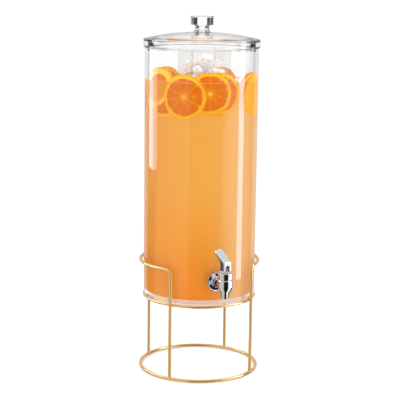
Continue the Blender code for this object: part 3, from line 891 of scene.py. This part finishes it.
def end_cap():
    """End piece of an orange, its skin against the wall."""
    patch = WallPatch(73.0, 0.5055, 0.0375, 0.0375)
    bm = bmesh.new()
    rim = [polar(1, a) for a in ring_angles(72)]
    plate(bm, patch, rim, -0.00045, 0.0080, 10, 1)
    plate(bm, patch, scaled(rim, 0.965), -0.00050, 0.0078, 10, 0)
    skin = peel("orange_skin", (0.90, 0.42, 0.020), (0.95, 0.50, 0.035), 0.3)
    obj = add_object("orange_end", bm, patch.matrix, skin)
    obj.data.materials.append(PITH)
    piece(obj, "jar")


def build_ice():
    """Crushed ice fills the chamber, with clear lumps heaped on it."""
    lo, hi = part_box("ice_tube_floor")
    middle = (lo + hi) / 2
    turn = Matrix.Translation((middle.x, middle.y, 0)) @ Matrix.Rotation(CHAMBER_TURN, 4, "Z")
    half, bottom, top = 0.0332, hi.z + 0.0006, DRINK_TOP + 0.006
    bm = bmesh.new()
    rows, sides = 60, 12
    around = 4 * sides
    rings = []
    for row in range(rows + 1):
        z = bottom + (top - bottom) * row / rows
        ring = []
        for k in range(around):
            edge, t = divmod(k, sides)
            x, y = -half + 2 * half * t / sides, -half
            for _ in range(edge):
                x, y = -y, x
            point = Vector((x, y, z))
            dent = 0.0042 * (0.5 + 0.5 * noise.noise(point * 70)) + 0.002 * noise.noise(point * 200) ** 2
            scale = 1 - dent / half
            ring.append(bm.verts.new((x * scale, y * scale, z)))
        rings.append(ring)
    for lower, upper in zip(rings, rings[1:]):
        for k in range(around):
            bm.faces.new((lower[k], lower[(k + 1) % around], upper[(k + 1) % around], upper[k]))
    bm.faces.new(rings[0])
    cap = bm.verts.new((0, 0, top + 0.004))
    for k in range(around):
        bm.faces.new((rings[-1][k], rings[-1][(k + 1) % around], cap))
    piece(add_object("crushed_ice", bm, turn, CRUSHED, sharp=60), "ice_chamber")
    # place of each lump's middle in the chamber, its half width and its half height
    lumps = [
        (-0.002, -0.010, 0.5645, 0.0160, 0.0130), (-0.0225, 0.006, 0.5590, 0.0100, 0.0115),
        (0.0215, -0.009, 0.5575, 0.0095, 0.0085), (-0.019, -0.020, 0.5470, 0.0110, 0.0095),
        (0.008, -0.022, 0.5450, 0.0105, 0.0080), (0.020, 0.016, 0.5500, 0.0115, 0.0100),
        (-0.001, 0.019, 0.5550, 0.0120, 0.0110), (-0.020, 0.021, 0.5480, 0.0100, 0.0080),
        (0.022, -0.024, 0.5440, 0.0085, 0.0075), (0.009, 0.003, 0.5500, 0.0120, 0.0100),
    ]
    for k, (x, y, z, wide, tall) in enumerate(lumps):
        piece(ice_lump(k, turn @ Matrix.Translation((x, y, z)), wide, tall), "ice_chamber")


def ice_lump(number, matrix, wide, tall):
    """Rounded lump with chipped flats."""
    bm = bmesh.new()
    bmesh.ops.create_icosphere(bm, subdivisions=4, radius=1.0)
    chip_count, chip_share = 9, 0.85
    chips = []
    for _ in range(chip_count):
        normal = Vector((random.gauss(0, 1), random.gauss(0, 1), random.gauss(0, 1))).normalized()
        chips.append((normal, random.uniform(0.62, 0.82)))
    for vert in bm.verts:
        point = vert.co.copy()
        for normal, distance in chips:
            over = point.dot(normal) - distance
            if over > 0:
                point -= normal * over * chip_share
        point *= 1 + 0.10 * noise.noise(point * 1.8 + Vector((number * 7.1, 0, 0)))
        vert.co = (point.x * wide, point.y * wide, point.z * tall)
    return add_object(f"ice_lump_{number}", bm, matrix, ICE, sharp=80)


# ---------------------------------------------------------------- studio
def build_world():
    """White room. Shiny and clear parts show dark and light upright bands of it, as in a product studio."""
    world = bpy.data.worlds.new("studio")
    bpy.context.scene.world = world
    world.use_nodes = True
    tree = world.node_tree
    background = tree.nodes["Background"]

    def math_node(operation, *inputs):
        node = tree.nodes.new("ShaderNodeMath")
        node.operation = operation
        for socket, source in zip(node.inputs, inputs):
            if isinstance(source, (int, float)):
                socket.default_value = source
            else:
                tree.links.new(source, socket)
        return node.outputs[0]

    def ramp(source, stops):
        node = tree.nodes.new("ShaderNodeValToRGB")
        fill_ramp(node, stops)
        tree.links.new(source, node.inputs["Fac"])
        return node.outputs["Color"]

    def mix(factor, first, second):
        node = tree.nodes.new("ShaderNodeMix")
        node.data_type = "RGBA"
        sockets = [node.inputs[key] for key in ("Factor", "A", "B")]
        for socket, source in zip(sockets, (factor, first, second)):
            if isinstance(source, (int, float)):
                socket.default_value = (source, source, source, 1)
            else:
                tree.links.new(source, socket)
        return node.outputs["Result"]

    coord = tree.nodes.new("ShaderNodeTexCoord")
    turn = tree.nodes.new("ShaderNodeMapping")
    turn.inputs["Rotation"].default_value = (0, 0, -CAMERA_AZIMUTH)
    split = tree.nodes.new("ShaderNodeSeparateXYZ")
    tree.links.new(coord.outputs["Generated"], turn.inputs["Vector"])
    tree.links.new(turn.outputs["Vector"], split.inputs["Vector"])
    azimuth = math_node("ARCTAN2", split.outputs["X"], math_node("MULTIPLY", split.outputs["Y"], -1.0))
    around = math_node("ADD", math_node("DIVIDE", azimuth, 2 * math.pi), 0.5)
    bands = ramp(around, [(degrees / 360 + 0.5, value) for degrees, value in STUDIO_BANDS])
    height = math_node("ADD", math_node("MULTIPLY", split.outputs["Z"], 0.5), 0.5)
    above = ramp(height, [(0.78, 0.0), (0.88, 1.0)])
    path = tree.nodes.new("ShaderNodeLightPath")
    through = ramp(around, [(degrees / 360 + 0.5, value) for degrees, value in STUDIO_THROUGH])
    seen = mix(path.outputs["Is Transmission Ray"], mix(above, bands, 0.8), mix(above, through, 0.3))
    soft = mix(path.outputs["Is Diffuse Ray"], seen, DIFFUSE_LEVEL)
    tree.links.new(mix(path.outputs["Is Camera Ray"], soft, BACKDROP_LEVEL), background.inputs["Color"])


def build_studio():
    build_world()
    bpy.context.scene.view_settings.view_transform = "Standard"

    bm = bmesh.new()
    bmesh.ops.create_circle(bm, cap_ends=True, segments=96, radius=0.75)
    floor_mat = Nodes("studio_floor")
    floor_mat.set(Roughness=0.8, Base_Color=(0.97, 0.97, 0.97, 1))
    floor_mat.set(Emission_Color=(1, 1, 1, 1), Emission_Strength=0.08)
    floor = add_object("studio_floor", bm, Matrix.Translation((0, 0, -0.0006)), floor_mat.mat)
    floor.visible_glossy = False

    strip(-111, 1.2, 0.60, 0.196, 0.528, (3.7, 4.8, 6.2))
    strip(-103.5, 1.19, 0.22, 0.196, 0.528, (2.2, 2.7, 3.2))
    strip(-101.5, 1.2, 0.38, 0.54, 1.7, (3.7, 4.8, 6.2))
    strip(83.5, 0.75, 0.18, 0.01, 1.4, (4.9, 6.1, 8.6))
    for side in (-1, 1):
        flag(180 + side * 32, 0.45, 0.280, 0.600, 0.95)
        flag(180 + side * 50, 1.5, 0.80, 0.500, 0.548)


def panel(name, azimuth, distance, width, bottom, top, radiance):
    """Upright card that reflections show and the camera doesn't. Its azimuth is counted from the camera."""
    angle = CAMERA_AZIMUTH + math.radians(azimuth)
    middle = (bottom + top) / 2
    place = Matrix.Translation((distance * math.sin(angle), AXIS_Y - distance * math.cos(angle), middle))
    bm = bmesh.new()
    bmesh.ops.create_grid(bm, x_segments=1, y_segments=1, size=0.5)
    bmesh.ops.scale(bm, verts=bm.verts, vec=(width, top - bottom, 1))
    n = Nodes(name)
    glow = n.add("Emission", Color=(*radiance, 1))
    n.link(glow.outputs[0], n.out.inputs["Surface"])
    obj = add_object(name, bm, place @ Matrix.Rotation(angle, 4, "Z") @ UPRIGHT, n.mat)
    obj.visible_camera = obj.visible_diffuse = obj.visible_transmission = obj.visible_shadow = False
    return obj


def strip(azimuth, distance, width, bottom, top, radiance):
    panel("strip_light", azimuth, distance, width, bottom, top, radiance)


def flag(azimuth, distance, width, bottom, top):
    """Black card behind the object, seen only through clear parts, which gives them their dark edges."""
    obj = panel("flag", azimuth, distance, width, bottom, top, (0.004, 0.004, 0.010))
    obj.visible_glossy = False
    obj.visible_transmission = True


def build_camera():
    distance, height, pitch, roll = 2.0918, 0.69446, 0.18140, 0.0128
    data = bpy.data.cameras.new("camera")
    data.sensor_width, data.lens = 36, 105.14
    data.clip_start, data.clip_end = 0.01, 50
    camera = bpy.data.objects.new("camera", data)
    bpy.context.scene.collection.objects.link(camera)
    away_x, away_y = distance * math.sin(CAMERA_AZIMUTH), distance * math.cos(CAMERA_AZIMUTH)
    position = Vector((away_x, AXIS_Y - away_y, height))
    turn = Matrix.Rotation(CAMERA_AZIMUTH, 4, "Z") @ Matrix.Rotation(math.pi / 2 - pitch, 4, "X")
    camera.matrix_world = Matrix.Translation(position) @ turn @ Matrix.Rotation(roll, 4, "Z")
    bpy.context.scene.camera = camera


def finish_shown_cad():
    """The CAD's own solids that stay visible only get a material."""
    silicone = plastic("silicone", (0.82, 0.80, 0.76), 0.45)
    nylon = plastic("white_nylon", (0.86, 0.86, 0.84), 0.40)
    for name, mat in (("ice_tube", THIN_CLEAR), ("ice_tube_floor", THIN_CLEAR), ("valve_stem", CHROME),
                      ("lever_pin", STEEL), ("seat_cup", silicone), ("outer_gasket", silicone),
                      ("inner_gasket", silicone), ("lock_nut", nylon)):
        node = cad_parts[name]
        node.data.materials.clear()
        node.data.materials.append(mat)


build_camera()
build_studio()
build_stand()
build_jar()
build_lid()
build_tap()
build_drink()
build_fruit()
build_ice()
finish_shown_cad()
